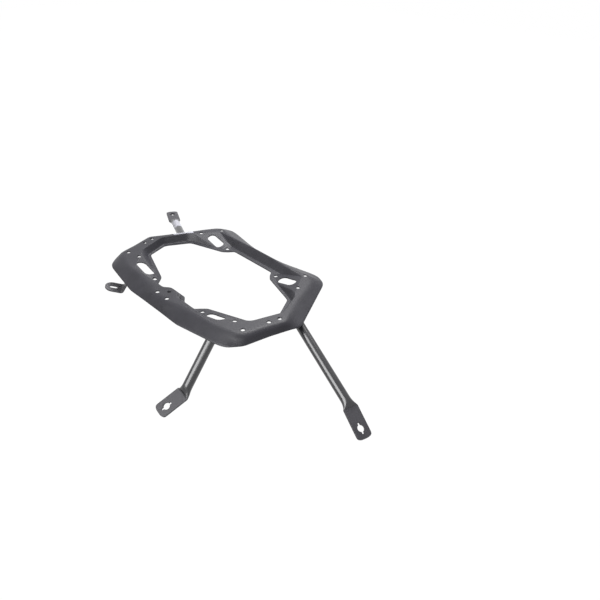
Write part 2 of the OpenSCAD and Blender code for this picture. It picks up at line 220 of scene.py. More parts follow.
@dataclass(frozen=True)
class SheetProfile:
    """Cross-section of the pressed sheet at every angle round the ring, in mm.

    Attributes:
        height: From the rim up to the crown.
        thick: Sheet thickness.
        pad_turn: Angle below which the pad side's gusset ramps begin, in degrees.
        waist_turn: Angle above which the waist side's gusset ramps begin, in degrees.
        pad_fold: Line in plan along which a pad side's ramp leaves the crown.
        waist_fold: The same on the waist side.
        tip: Place of a gusset's tip hole.
        flat_at_tip: Length of flat sheet beside a tip hole.
        bend_reach: How far the bend at each corner reaches along the sheet.
        bend_points: Points on the bend at each corner.
        run_points: Points on the flat run before each bend.
    """

    height: float = 12.0
    thick: float = 2.0
    pad_turn: float = -23.4
    waist_turn: float = 22.3
    pad_fold: tuple[Point2, Point2] = ((101, -88), (131, -57))
    waist_fold: tuple[Point2, Point2] = ((106, 95), (130, 53))
    tip: Point2 = (62.9, 76.6)
    flat_at_tip: float = 7.0
    bend_reach: tuple[float, ...] = (0.0, 2.6, 2.2, 2.4, 3.4, 8.0, 0.0)
    bend_points: tuple[int, ...] = (0, 5, 5, 5, 6, 9, 0)
    run_points: tuple[int, ...] = (3, 3, 5, 3, 5, 7)

    @staticmethod
    def past(x: Any, y: Any, line: tuple[Point2, Point2]) -> Any:
        """Measures how far points lie past a fold line, towards the centre of the ring.

        Args:
            x: Places of the points along x.
            y: Their places along y.
            line: Two points of the fold line.

        Returns:
            Distances in mm, negative on the crown's side.
        """
        (ax, ay), (bx, by) = line
        length = math.hypot(bx - ax, by - ay)
        nx, ny = -(by - ay) / length, (bx - ax) / length
        side = -1.0 if -ax * nx - ay * ny < 0 else 1.0
        return side * ((x - ax) * nx + (y - ay) * ny)

    def ramp_height(self, angle: Array, radius: Array) -> Array:
        """Finds the height of a gusset ramp, from 0 at its fold down to the flange.

        Args:
            angle: Angles round the ring in degrees.
            radius: Radii at these angles.

        Returns:
            Heights in mm.
        """
        folded = mirror_angle(angle)
        x, y = radius * np.cos(np.radians(folded)), radius * np.sin(np.radians(folded))
        (tip_x, tip_y), down = self.tip, []
        for fold, side in ((self.pad_fold, -1), (self.waist_fold, 1)):
            run = self.past(tip_x, side * tip_y, fold) - self.flat_at_tip
            down.append(-self.height * np.clip(self.past(x, y, fold) / run, 0, 1))
        return np.where(folded < self.pad_turn, down[0], np.where(folded > self.waist_turn, down[1], 0.0))

    def corners(self, angle: Array) -> tuple[Array, Array]:
        """Works out the corner points of the upper and the lower side of the sheet.

        Args:
            angle: Angles round the ring in degrees.

        Returns:
            Two arrays of [angle, corner, (radius, z)]: the upper side from the flange's edge
            outwards, and the lower side in the same order.
        """
        least_flange, least_step, least_crown, least_under, least_crown_under = 3.0, 0.4, 2.5, 0.2, 0.8
        edge, foot, ramp, rail, inner, outer, rim = (PLAN[corner].soft(angle) for corner in Corner)
        foot = np.maximum(foot, edge + least_flange)
        ramp = np.maximum(ramp, foot + least_step)
        rail = np.maximum(rail, ramp + least_step)
        inner = np.maximum(inner, rail + least_step)
        outer = np.maximum(outer, inner + least_crown)
        low, crown = np.full_like(angle, -self.height), np.zeros_like(angle)
        ramp_z, rail_z = self.ramp_height(angle, ramp), self.ramp_height(angle, rail)
        wall_lean = np.arctan2(np.abs(ramp_z - low), np.abs(ramp - foot))
        rail_lean = np.arctan2(np.abs(rail_z), np.abs(inner - rail))
        slope_lean = np.arctan2(np.full_like(angle, self.height), np.abs(rim - outer))
        t = self.thick
        wall_shift, rail_shift = t * np.tan(wall_lean / 2), t * np.tan(rail_lean / 2)
        ramp_in = ramp + wall_shift
        rail_in = np.maximum(rail + rail_shift, ramp_in + least_under)
        inner_in = np.maximum(inner + rail_shift, rail_in + least_under)
        outer_in = np.maximum(outer - t * np.tan(slope_lean / 2), inner_in + least_crown_under)
        top = (
            (edge, low), (foot, low), (ramp, ramp_z), (rail, rail_z), (inner, crown), (outer, crown),
            (rim, low),
        )
        under = (
            (edge, low - t), (foot + wall_shift, low - t), (ramp_in, ramp_z - t), (rail_in, rail_z - t),
            (inner_in, crown - t), (outer_in, crown - t),
            (rim - t * np.sin(slope_lean), low - t * np.cos(slope_lean)),
        )
        upper, lower = (np.stack([np.stack(p, -1) for p in side], 1) for side in (top, under))
        return upper, lower

    def outline(self, top: Array, under: Array) -> list[Array]:
        """Rounds one section's corners and closes it.

        Args:
            top: Corners of the upper side at one angle.
            under: Corners of the lower side at one angle.

        Returns:
            Points of the closed section, outwards along the top and back below it.
        """
        edge_break, under_reach, under_points, under_run = 0.5, 0.7, 4, 2
        slope_end, rim_top, rim_low, under_end = 0.035, 0.28, 0.2, 0.03
        (edge, edge_under), (rim, rim_under) = ((top[i], under[i]) for i in (Corner.EDGE, Corner.RIM))
        points: list[Array] = [edge + (0, -edge_break), edge + (edge_break, 0)]
        for i in range(Corner.FOOT, Corner.RIM):
            bent = curve_corner(top[i - 1], top[i], top[i + 1], self.bend_reach[i], self.bend_points[i])
            points += fill_between(points[-1], bent[0], self.run_points[i - 1]) + bent
        bent = [blend(rim, top[Corner.CROWN_OUT], slope_end), blend(rim, rim_under, rim_top)]
        points += fill_between(points[-1], bent[0], self.run_points[-1]) + bent
        points += [blend(rim_under, rim, rim_low), blend(rim_under, under[Corner.CROWN_OUT], under_end)]
        for i in range(Corner.CROWN_OUT, Corner.EDGE, -1):
            reach = under_reach * self.bend_reach[i]
            bent = curve_corner(under[i + 1], under[i], under[i - 1], reach, under_points)
            points += fill_between(points[-1], bent[0], under_run) + bent
        last = [edge_under + (edge_break, 0), edge_under + (0, edge_break)]
        return points + fill_between(points[-1], last[0], 1) + last


PROFILE = SheetProfile()


def turn(angle: float, section: Sequence[Array]) -> Array:
    """Returns [radius, z] points set at an angle round the ring, as x, y, z in mm."""
    (radius, z), a = np.asarray(section).T, math.radians(angle)
    return np.stack([radius * math.cos(a), radius * math.sin(a), z], -1)


def put(name: str, data: Any) -> Piece:
    """Makes an object and links it to the scene.

    Args:
        name: Name of the object.
        data: Its mesh, lamp or camera.

    Returns:
        The object.
    """
    made = bpy.data.objects.new(name, data)
    bpy.context.scene.collection.objects.link(made)
    return made


def make_mesh(name: str, points: Array, faces: Sequence[Sequence[int]]) -> Piece:
    """Makes an object from points in mm.

    Args:
        name: Name of the piece.
        points: Corner points in mm.
        faces: Corner numbers of each face, turning left seen from outside.

    Returns:
        The new object, in metres.
    """
    mesh = bpy.data.meshes.new(name)
    mesh.from_pydata((np.asarray(points) * MM).tolist(), [], [list(f) for f in faces])
    mesh.validate()
    return put(name, mesh)


def tube_faces(rings: int, around: int, closed: bool = False, flip: bool = False) -> list[list[int]]:
    """Lists the faces that join rings of points.

    Args:
        rings: Number of rings.
        around: Points in each ring.
        closed: True where the last ring joins the first; otherwise both ends get a cap.
        flip: True to turn every face over.

    Returns:
        Corner numbers of each face.
    """
    faces = []
    for i in range(rings if closed else rings - 1):
        for j in range(around):
            a, b = i * around + j, i * around + (j + 1) % around
            c, d = ((i + 1) % rings) * around + j, ((i + 1) % rings) * around + (j + 1) % around
            faces.append([a, c, d, b])
    if not closed:
        faces.append(list(range(around)))
        faces.append([(rings - 1) * around + j for j in range(around - 1, -1, -1)])
    return [f[::-1] for f in faces] if flip else faces


def mesh_volume(piece: Piece) -> float:
    """Measures the volume of a closed mesh.

    Args:
        piece: The piece.

    Returns:
        Cubic metres, negative where the faces look inwards.
    """
    mesh = piece.data
    mesh.calc_loop_triangles()
    v = np.array([p.co[:] for p in mesh.vertices])
    t = np.array([f.vertices[:] for f in mesh.loop_triangles])
    return float(np.einsum("ij,ij->i", v[t[:, 0]], np.cross(v[t[:, 1]], v[t[:, 2]])).sum() / 6)


def face_outwards(piece: Piece) -> Piece:
    """Turns a closed mesh's faces outwards where they look inwards.

    Args:
        piece: The piece.

    Returns:
        The same piece.
    """
    if mesh_volume(piece) < 0:
        piece.data.flip_normals()
    return piece


def carve(piece: Piece, cutter: Piece, mode: str = "DIFFERENCE") -> None:
    """Cuts a piece with another mesh, and removes the cutter.

    Args:
        piece: Object that is cut.
        cutter: Object that cuts.
        mode: DIFFERENCE or INTERSECT.
    """
    cut = piece.modifiers.new("cut", "BOOLEAN")
    cut.operation, cut.solver, cut.object = mode, "EXACT", cutter
    shape = bpy.data.meshes.new_from_object(piece.evaluated_get(bpy.context.evaluated_depsgraph_get()))
    piece.modifiers.clear()
    old, piece.data = piece.data, shape
    shape.name = piece.name
    bpy.data.meshes.remove(old)
    bpy.data.objects.remove(cutter)


def prism(name: str, outline: Sequence[Point2], place: Matrix, low: float, high: float) -> Piece:
    """Makes an upright prism of an outline.

    Args:
        name: Name of the object.
        outline: Plan points in mm, turning left.
        place: Where the outline's own axes stand, in mm.
        low: Lower end along the prism's axis, in mm.
        high: Upper end along the prism's axis, in mm.

    Returns:
        The prism.
    """
    count = len(outline)
    rings = [[place @ Vector((x, y, z)) for x, y in outline] for z in (low, high)]
    faces = [[i, (i + 1) % count, count + (i + 1) % count, count + i] for i in range(count)]
    faces += [list(range(count))[::-1], list(range(count, 2 * count))]
    return make_mesh(name, np.array([tuple(p) for r in rings for p in r]), faces)


def sides(along: Sequence[float], across: Sequence[float]) -> tuple[Array, Array]:
    """Returns the directions of the width and of the thickness of a piece that runs along a line."""
    up = unit(np.cross(unit(along), across))
    return np.cross(up, unit(along)), up


def axes_at(origin: Sequence[float], along: Sequence[float], across: Sequence[float]) -> Matrix:
    """Makes a placement from two directions.

    Args:
        origin: Where the placement's own origin stands.
        along: Direction of its x axis.
        across: Direction towards which its y axis leans.

    Returns:
        The placement.
    """
    a, (b, n) = unit(along), sides(along, across)
    rows = [(a[i], b[i], n[i], origin[i]) for i in range(3)]
    return Matrix((*rows, (0, 0, 0, 1)))


def smooth(piece: Piece, sharp: float = 38.0) -> None:
    """Shades a piece smooth between its sharp edges.

    Args:
        piece: The piece.
        sharp: Angle in degrees above which an edge stays sharp.
    """
    mesh = piece.data
    mesh.polygons.foreach_set("use_smooth", [True] * len(mesh.polygons))
    mesh.set_sharp_from_angle(angle=math.radians(sharp))


# Shaders


class Wire:
    """A socket of a node tree that can be used in expressions."""

    def __init__(self, sheet: "ShaderSheet", socket: bpy.types.NodeSocket) -> None:
        """Keeps the sheet and the output socket."""
        self.sheet, self.socket = sheet, socket

    def _math(self, kind: str, *values: Any) -> "Wire":
        """Adds one Math node to the sheet and returns its result."""
        return self.sheet.node("Math", {"operation": kind}, dict(enumerate(values)))

    def __add__(self, other: Any) -> "Wire":
        """Returns self + other."""
        return self._math("ADD", self, other)

    __radd__ = __add__

    def __mul__(self, other: Any) -> "Wire":
        """Returns self * other."""
        return self._math("MULTIPLY", self, other)

    __rmul__ = __mul__

    def __sub__(self, other: Any) -> "Wire":
        """Returns self - other."""
        return self._math("SUBTRACT", self, other)

    def __rsub__(self, other: Any) -> "Wire":
        """Returns other - self."""
        return self._math("SUBTRACT", other, self)

    def clamp(self) -> "Wire":
        """Returns the value held between 0 and 1."""
        return self.sheet.node("Clamp", {}, {"Value": self})

    def ramp(self, low: float, high: float) -> "Wire":
        """Returns 0 below low, 1 above high and a smooth rise between."""
        inputs = {"Value": self, "From Min": low, "From Max": high}
        return self.sheet.node("MapRange", {"interpolation_type": "SMOOTHSTEP"}, inputs)


class ShaderSheet:
    """Builds the node tree of one material or of the world."""

    def __init__(self, owner: Material | bpy.types.World) -> None:
        """Empties the owner's node tree.

        Args:
            owner: Material or world that gets the nodes.
        """
        owner.use_nodes = True
        self.owner, self.tree = owner, owner.node_tree
        self.tree.nodes.clear()

    def add(self, kind: str, settings: dict[str, Any], inputs: dict[Any, Any]) -> bpy.types.Node:
        """Adds a node.

        Args:
            kind: Blender's type name of the node, without the ShaderNode at its front.
            settings: Attributes that are set first.
            inputs: Socket names or numbers with a number, a colour or a Wire.

        Returns:
            The node.
        """
        made = self.tree.nodes.new("ShaderNode" + kind)
        for key, value in settings.items():
            setattr(made, key, value)
        for key, value in inputs.items():
            socket = made.inputs[key]
            if isinstance(value, Wire):
                self.tree.links.new(value.socket, socket)
            else:
                socket.default_value = value
        return made

    def node(self, kind: str, settings: dict[str, Any], inputs: dict[Any, Any], output: Any = 0) -> Wire:
        """Adds a node and returns its output of that name or number."""
        return Wire(self, self.add(kind, settings, inputs).outputs[output])

    def mix(self, factor: Any, a: Any, b: Any) -> Wire:
        """Returns the colour between a and b at the factor."""
        return self.node("Mix", {"data_type": "RGBA"}, {0: factor, 6: a, 7: b}, 2)

    def place(self) -> Wire:
        """Returns the object's own coordinates, in metres."""
        return self.node("TexCoord", {}, {}, "Object")

    def noise(self, size_mm: float, detail: float = 3.0) -> Wire:
        """Returns noise whose blobs are about size_mm across."""
        inputs = {"Vector": self.place(), "Scale": 1 / (size_mm * MM), "Detail": detail, "Roughness": 0.55}
        return self.node("TexNoise", {}, inputs)

    def bump(self, height: Wire, depth_mm: float, base: Wire | None = None) -> Wire:
        """Bends the normal by a height.

        Args:
            height: The height, between 0 and 1.
            depth_mm: Depth in mm that a change of one stands for.
            base: Normal that is bent further, or None for the surface's own.

        Returns:
            The bent normal.
        """
        inputs: dict[str, Any] = {"Height": height, "Strength": 1.0, "Distance": depth_mm * MM}
        if base is not None:
            inputs["Normal"] = base
        return self.node("Bump", {}, inputs)

    def shown_white(self) -> Wire:
        """Returns 1 for rays of the camera, gloss and clear pieces, and 0 for rays that only carry light."""
        rays = ("Is Camera Ray", "Is Glossy Ray", "Is Transmission Ray")
        camera, glossy, through = (self.node("LightPath", {}, {}, ray) for ray in rays)
        return (camera + glossy + through).clamp()

    def end(self, shader: Wire, kind: str = "Material") -> Any:
        """Ends the sheet with the output node of its kind of owner, and returns the owner."""
        self.add("Output" + kind, {}, {"Surface": shader})
        return self.owner

    def surface(self, colour: Wire, rough: Wire, normal: Wire, specular: float) -> Material:
        """Ends the sheet as a plain coated surface.

        Args:
            colour: Its colour.
            rough: Its roughness.
            normal: Its bent normal.
            specular: Strength of its reflection.

        Returns:
            The material.
        """
        return self.end(self.node("BsdfPrincipled", {}, {
            "Base Color": colour, "Roughness": rough, "Normal": normal, "Specular IOR Level": specular,
        }))


@dataclass(frozen=True)
class PowderCoat:
    """Baked powder coat on steel.

    Attributes:
        name: Name of the material.
        dark: Colour in the thinner places.
        light: Colour in the thicker places.
        rough: Mean roughness.
        specular: Strength of the reflection.
        peel_mm: Size of the orange peel.
        peel_depth: Depth of the orange peel, in mm.
        grain_mm: Size of the fine grain.
        grain_depth: Depth of the fine grain, in mm.
    """

    name: str
    dark: Point3
    light: Point3
    rough: float
    specular: float
    peel_mm: float = 2.4
    peel_depth: float = 0.012
    grain_mm: float = 0.5
    grain_depth: float = 0.003

    def build(self) -> Material:
        """Returns the material."""
        sheet = ShaderSheet(bpy.data.materials.new(self.name))
        cloud_mm = 38.0
        cloud = sheet.noise(cloud_mm, 2.0).ramp(0.3, 0.7)
        grain = sheet.noise(self.grain_mm, 2.0)
        peel = sheet.noise(self.peel_mm, 1.0)
        colour = sheet.mix((cloud * 0.7 + grain * 0.3).clamp(), (*self.dark, 1), (*self.light, 1))
        rough = self.rough + (cloud - 0.5) * 0.05 + (grain - 0.5) * 0.10
        normal = sheet.bump(grain, self.grain_depth, sheet.bump(peel, self.peel_depth))
        return sheet.surface(colour, rough, normal, self.specular)


@dataclass(frozen=True)
class LabelFilm:
    """Blank film with faint marks in the shade's colour, slightly uneven where it follows the metal."""

    name: str
    paper: Point3
    shade: Point3

    def build(self) -> Material:
        """Returns the material."""
        mark_mm, fibre_mm, depth_mm, rough, specular = 9.0, 0.9, 0.05, 0.42, 0.4
        sheet = ShaderSheet(bpy.data.materials.new(self.name))
        mark = sheet.noise(mark_mm, 3.0).ramp(0.35, 0.75)
        fibre = sheet.noise(fibre_mm, 2.0)
        colour = sheet.mix((mark * 0.6 + fibre * 0.25).clamp(), (*self.paper, 1), (*self.shade, 1))
        return sheet.surface(colour, rough + (fibre - 0.5) * 0.12, sheet.bump(mark, depth_mm), specular)


class Finish(Enum):
    """The finishes of the pannier frame."""

    RING = PowderCoat("ring_powder_coat", (0.037, 0.036, 0.044), (0.049, 0.048, 0.058), 0.40, 0.22)
    STAY = PowderCoat(
        "stay_powder_coat", (0.024, 0.024, 0.028), (0.032, 0.032, 0.037), 0.22, 0.70,
        peel_mm=6.0, peel_depth=0.001, grain_mm=2.0, grain_depth=0.0001,
    )
    # Lighter than the stay's coat as painted sheen: the colour stands in for the overhead lamp's reflection
    # on the flattened ends. Their coarser peel and grain are their own.
    LUG = PowderCoat(
        "flattened_end_coat_painted_sheen", (0.052, 0.051, 0.059), (0.078, 0.076, 0.086), 0.48, 0.26,
        peel_mm=1.8, peel_depth=0.018, grain_mm=0.55, grain_depth=0.006,
    )
    # Its colour is lifted to about twice the ring's as painted light, standing in for light on the foot where
    # the ring shades it.
    BRACKET = PowderCoat("bracket_coat_painted_light", (0.105, 0.103, 0.114), (0.130, 0.128, 0.140), 0.45, 0.3)
    LABEL = LabelFilm("blank_label_film", (0.54, 0.54, 0.60), (0.43, 0.43, 0.49))


@lru_cache(maxsize=None)
def coat(finish: Finish) -> Material:
    """Returns the material of a finish, made once."""
    return finish.value.build()


def dress(piece: Piece, node: str, slot: str, *finishes: Finish) -> Piece:
    """Shades a piece, gives it its finishes and lets it stand for its CAD node.

    Args:
        piece: The new piece.
        node: CAD node that it stands for.
        slot: Name of the piece's material slot; not used.
        finishes: Finishes in the order of the piece's material numbers.

    Returns:
        The piece.
    """
    smooth(piece)
    for finish in finishes:
        piece.data.materials.append(coat(finish))
    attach(piece, "root")
    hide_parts(node)
    return piece


# The ring


@dataclass
class PressedRing:
    """The pressed ring with its gussets, holes and slots; places in mm, each mirrored at x = 0.

    Attributes:
        steps: Number of sections round the ring.
        hole_d: Diameter of the round holes.
        flare: Width of the soft edge of each hole.
        slot: Length and width of a gusset's slot.
        slot_corner: Corner radius of a slot.
        cut_low: Height at which every cutter begins.
    """

    steps: int = 576
    hole_d: float = 6.4
    flare: float = 0.35
    slot: Point2 = (34.0, 17.0)
    slot_corner: float = 7.5
    cut_low: float = -30.0
    crown_holes: tuple[Point2, ...] = (
        (125, -65.5), (125, 65.5), (149, -71), (108, 100.6), (165, -14.2), (160.6, -31.2), (12.5, -104),
    )
    tip_holes: tuple[Point2, ...] = ((63, -76.5), (63, 76.5))
    middle_hole: Point2 = (0, -90.8)
    slots: tuple[Point2, ...] = ((93, -74.5), (93, 73.5))

    def sheet(self) -> Piece:
        """Returns the sheet without its holes."""
        angles = np.arange(self.steps) * 360.0 / self.steps
        top, under = PROFILE.corners(angles)
        sections = [turn(a, PROFILE.outline(t, u)) for a, t, u in zip(angles, top, under)]
        faces = tube_faces(self.steps, len(sections[0]), closed=True, flip=True)
        return make_mesh("ring_skin", np.concatenate(sections), faces)

    def round_cutter(self, x: float, y: float, top: float) -> Cutter:
        """Makes the cutter of one round hole.

        Args:
            x: Place of the hole along x.
            y: Its place along y.
            top: Height of the sheet's upper side there.

        Returns:
            Points and faces of the cutter.
        """
        sides, skin, wider, higher = 40, 0.02, 3.0, 6.0
        r, f = self.hole_d / 2, self.flare
        rings = ((r, self.cut_low), (r, top - f), (r + f, top + skin), (r + wider, top + higher))
        points = [(x + px, y + py, z) for size, z in rings for px, py in circle(size, sides)]
        return points, tube_faces(len(rings), sides, flip=True)

    def slot_cutter(self, x: float, y: float) -> Cutter:
        """Makes the cutter of one slot.

        Args:
            x: Place of the slot's middle along x.
            y: Its place along y.

        Returns:
            Points and faces of the cutter.
        """
        top, corner_points = 12.0, 12
        half_l, half_w = (size / 2 - self.slot_corner for size in self.slot)
        outline = [
            (x + sx * half_l + px, y + sy * half_w + py)
            for quarter, (sx, sy) in enumerate(((1, 1), (-1, 1), (-1, -1), (1, -1)))
            for px, py in arc(self.slot_corner, 90 * quarter, 90 * quarter + 90, corner_points)
        ]
        points = [(px, py, z) for z in (self.cut_low, top) for px, py in outline]
        return points, tube_faces(2, len(outline), flip=True)

    def cutters(self) -> Piece:
        """Returns every hole and slot as one cutting mesh."""
        parts = [self.round_cutter(*self.middle_hole, 0.0)]
        for side in (-1, 1):
            parts += [self.round_cutter(side * x, y, 0.0) for x, y in self.crown_holes]
            parts += [self.round_cutter(side * x, y, -PROFILE.height) for x, y in self.tip_holes]
            parts += [self.slot_cutter(side * x, y) for x, y in self.slots]
        points: list[Point3] = []
        faces: list[list[int]] = []
        for some, sides in parts:
            faces += [[k + len(points) for k in f] for f in sides]
            points += some
        return make_mesh("hole_cutters", np.array(points), faces)

    def build(self) -> Piece:
        """Returns the finished ring."""
        ring = self.sheet()
        carve(ring, self.cutters())
        return dress(ring, "ring", "ring_paint", Finish.RING)


@dataclass
class RingLabel:
    """Blank label that lies over the outer edge of the rear end's crown.

    Attributes:
        start: Angle at which the label begins, in degrees.
        stop: Angle at which it ends.
        inner: Share of the crown's width at which it begins.
        outer: Share of the slope at which it ends.
        lift: Height of its lower side over the steel, in mm.
        thick: Thickness of the film, in mm.
    """

    start: float = 157.5
    stop: float = 171.0
    inner: float = 0.25
    outer: float = 0.6
    lift: float = 0.06
    thick: float = 0.2

    def build(self) -> Piece:
        """Returns the label."""
        steps, bend_points, reach = 40, 9, PROFILE.bend_reach[Corner.CROWN_OUT]
        angles = np.linspace(self.start, self.stop, steps)
        sections = []
        for angle, corner in zip(angles, PROFILE.corners(angles)[0]):
            inner, edge, rim = corner[Corner.CROWN_IN], corner[Corner.CROWN_OUT], corner[Corner.RIM]
            line = [blend(inner, edge, self.inner)] + curve_corner(inner, edge, rim, reach, bend_points)
            line += [blend(edge, rim, t) for t in np.linspace(LEG_SHARE, self.outer, 3)[1:]]
            slope = math.atan2(edge[1] - rim[1], rim[0] - edge[0])
            tilts = [0.0, *np.linspace(0, slope, bend_points), slope, slope]
            out = [np.array((math.sin(a), math.cos(a))) for a in tilts]
            upper = [p + (self.lift + self.thick) * n for p, n in zip(line, out)]
            lower = [p + self.lift * n for p, n in zip(line, out)][::-1]
            sections.append(turn(angle, upper + lower))
        faces = tube_faces(steps, len(sections[0]), flip=True)
        label = make_mesh("ring_label_film", np.concatenate(sections), faces)
        return dress(label, "ring_label", "label_film", Finish.LABEL)


def space_over_sheet(start: float, stop: float) -> Piece:
    """Makes a solid of all that lies above the sheet's lower side.

    Args:
        start: First angle in degrees.
        stop: Last angle in degrees.

    Returns:
        The solid.
    """
    roof, reach, per_degree = 60.0, 2.0, 2
    angles = np.linspace(start, stop, int((stop - start) * per_degree) + 1)
    sections = []
    for angle, under in zip(angles, PROFILE.corners(angles)[1]):
        line: list[Array] = [under[Corner.RIM]]
        for i in range(Corner.CROWN_OUT, Corner.EDGE, -1):
            line += curve_corner(under[i + 1], under[i], under[i - 1], reach, 3)
        line.append(under[Corner.EDGE])
        line += [under[corner] * (1, 0) + (0, roof) for corner in (Corner.EDGE, Corner.RIM)]
        sections.append(turn(angle, line))
    faces = tube_faces(len(angles), len(sections[0]), flip=True)
    return make_mesh("over_sheet", np.concatenate(sections), faces)


# Stays and bracket


def swell(value: float, power: float) -> float:
    """Returns the signed power of a value."""
    return math.copysign(abs(value) ** power, value)


@dataclass(frozen=True)
class Station:
    """One section of a swept piece.

    Attributes:
        centre: Its centre, in mm.
        across: Direction of its width.
        up: Direction of its thickness.
        half_w: Half its width.
        half_h: Half its thickness.
        power: 1 for an ellipse, towards 0 for a rectangle.
    """

    centre: Array
    across: Array
    up: Array
    half_w: float
    half_h: float
    power: float

    def ring(self, count: int) -> Array:
        """Lists the points round the section.

        Args:
            count: Number of points.

        Returns:
            Their places in mm.
        """
        steps = [2 * math.pi * k / count for k in range(count)]
        return np.array([
            self.centre + self.across * self.half_w * swell(math.cos(t), self.power)
            + self.up * self.half_h * swell(math.sin(t), self.power)
            for t in steps
        ])


def sweep(name: str, stations: Sequence[Station], count: int = 64) -> Piece:
    """Makes the closed piece that runs through the stations.

    Args:
        name: Name of the piece.
        stations: Its sections from end to end.
        count: Points round each section.

    Returns:
        The piece.
    """
    points = np.concatenate([s.ring(count) for s in stations])
    return face_outwards(make_mesh(name, points, tube_faces(len(stations), count)))


class Seat(Enum):
    """Range of angles, in degrees round the ring, in which each root meets the sheet."""

    FRONT = (-4.0, 34.0)
    REAR = (144.0, 178.0)
    LOWER = (290.0, 343.0)
    BRACKET = (204.0, 242.0)


@dataclass
class TubeStay:
    """A tube with one flattened end that has a keyhole; sizes in mm.

    Attributes:
        node: CAD node that the stay stands for.
        root: Point on the tube's axis near the ring.
        along: Direction of the tube.
        length: From the root point to the flat end.
        inner: How far the tube reaches back from the root point.
        flat: Direction of the flat end.
        across: Direction across the flat end.
        flat_l: Length of the flat end.
        key: Distance of the keyhole from the start of the flat end.
        seat: Where its root meets the ring.
        limit: Outline in x and z that the tube keeps to, or None.
        tube_d: Diameter of the tube.
        wall: Thickness of its wall.
        lug_w: Width of the flat end.
        lug_t: Thickness of the flat end.
        pinch: Length over which the tube goes flat.
        cut: Length of the flat end's rounded tip.
        key_d: Diameter of the keyhole.
        notch_w: Width of its notches.
        key_l: Length over its notches.
        past: How far the pinch reaches into the flat end.
    """

    node: str
    root: Point3
    along: Point3
    length: float
    inner: float
    flat: Point3
    across: Point3
    flat_l: float
    key: float
    seat: Seat
    limit: tuple[Point2, ...] | None = None
    tube_d: float = 15.0
    wall: float = 2.0
    lug_w: float = 23.0
    lug_t: float = 4.0
    pinch: float = 15.0
    cut: float = 7.0
    key_d: float = 10.5
    notch_w: float = 3.6
    key_l: float = 16.0
    past: float = 3.0

    def corner(self) -> Array:
        """Returns the point where the tube's axis meets the flat end."""
        return np.array(self.root) + self.length * unit(self.along)

    def tube_stations(self) -> list[Station]:
        """Returns the sections of the round tube, from its inner end to the pinch."""
        (side, up), r, left = sides(self.along, self.across), self.tube_d / 2, 0.5
        places = np.linspace(self.length + self.inner, self.pinch + left, 14)
        return [Station(self.corner() - s * unit(self.along), side, up, r, r, 1.0) for s in places]

    def pinch_stations(self) -> list[Station]:
        """Returns the sections of the pinch, where the tube goes flat and turns."""
        turn_from, press_power, square_power, square = 0.45, 1.25, 2.2, 0.16
        along, flat, corner, r = unit(self.along), unit(self.flat), self.corner(), self.tube_d / 2
        (side, up), (flat_side, flat_up) = sides(along, self.across), sides(flat, self.across)
        shares = np.linspace(0.04, 1.0, 26)
        centres = bend(corner - self.pinch * along, corner, corner + self.past * flat, shares)
        made = []
        for t, centre in zip(shares, centres):
            turned = ease(min(1.0, max(0.0, (t - turn_from) / (1 - turn_from))))
            pressed = ease(t) ** press_power
            made.append(Station(
                centre, unit(blend(side, flat_side, turned)), unit(blend(up, flat_up, turned)),
                blend(r, self.lug_w / 2, pressed), blend(r, self.lug_t / 2, pressed),
                blend(1.0, square, ease(t) ** square_power),
            ))
        return made

    def flat_stations(self) -> list[Station]:
        """Returns the sections of the flat end, to its tip."""
        flat, corner, half_w, half_t = unit(self.flat), self.corner(), self.lug_w / 2, self.lug_t / 2
        (side, up), straight = sides(flat, self.across), self.flat_l - self.cut
        first, square, tip_power, last, thin = 8.0, 0.14, 0.7, 4, 0.86
        sizes = [(x, half_w, half_t) for x in np.linspace(first, straight, 4)]
        for degrees in (78, 66, 54, 42, 30, 20, 11, last):
            out, wide = (f(math.radians(degrees)) ** tip_power for f in (math.cos, math.sin))
            share = thin if degrees == last else 1
            sizes.append((straight + self.cut * out, half_w * wide, half_t * share))
        return [Station(corner + x * flat, side, up, w, h, square) for x, w, h in sizes]

    def keyhole(self) -> Piece:
        """Returns the cutter of the keyhole."""
        r, half, reach = self.key_d / 2, self.notch_w / 2, self.key_l / 2
        edge = math.degrees(math.asin(half / r))
        outline = [(-reach, half), (-reach, -half), *arc(r, 180 + edge, 360 - edge, 24)]
        outline += [(reach, -half), (reach, half), *arc(r, edge, 180 - edge, 24)]
        place = axes_at(self.corner() + self.key * unit(self.flat), self.flat, self.across)
        return prism("keyhole", outline, place, -self.lug_t, self.lug_t)

    def bore(self) -> Piece:
        """Returns the cutter of the tube's bore."""
        along = unit(self.along)
        side = np.cross(along, self.across)
        place = axes_at(self.root, side, np.cross(along, side))
        outline = circle(self.tube_d / 2 - self.wall, 40)
        spare = 3.0
        low, high = -self.inner - spare, self.length - self.pinch - spare
        return face_outwards(prism("bore", outline, place, low, high))

    def build(self) -> Piece:
        """Returns the finished stay."""
        stations = self.tube_stations() + self.pinch_stations() + self.flat_stations()
        stay = sweep(self.node + "_body", stations)
        carve(stay, self.keyhole())
        carve(stay, self.bore())
        if self.limit:
            upright = Matrix(((1, 0, 0, 0), (0, 0, -1, 0), (0, 1, 0, 0), (0, 0, 0, 1)))
            carve(stay, face_outwards(prism("space", self.limit, upright, -FAR, FAR)), "INTERSECT")
        carve(stay, space_over_sheet(*self.seat.value))
        dress(stay, self.node, "stay_paint", Finish.STAY, Finish.LUG)
        along, flat, corner, behind = unit(self.along), unit(self.flat), self.corner(), 2.0
        # Faces of the flat end take the second finish, whose lighter colour is painted sheen.
        for face in stay.data.polygons:
            reached = np.array(face.center) / MM - corner
            if reached @ flat > self.past / 2 and reached @ along > -behind:
                face.material_index = 1
        return stay


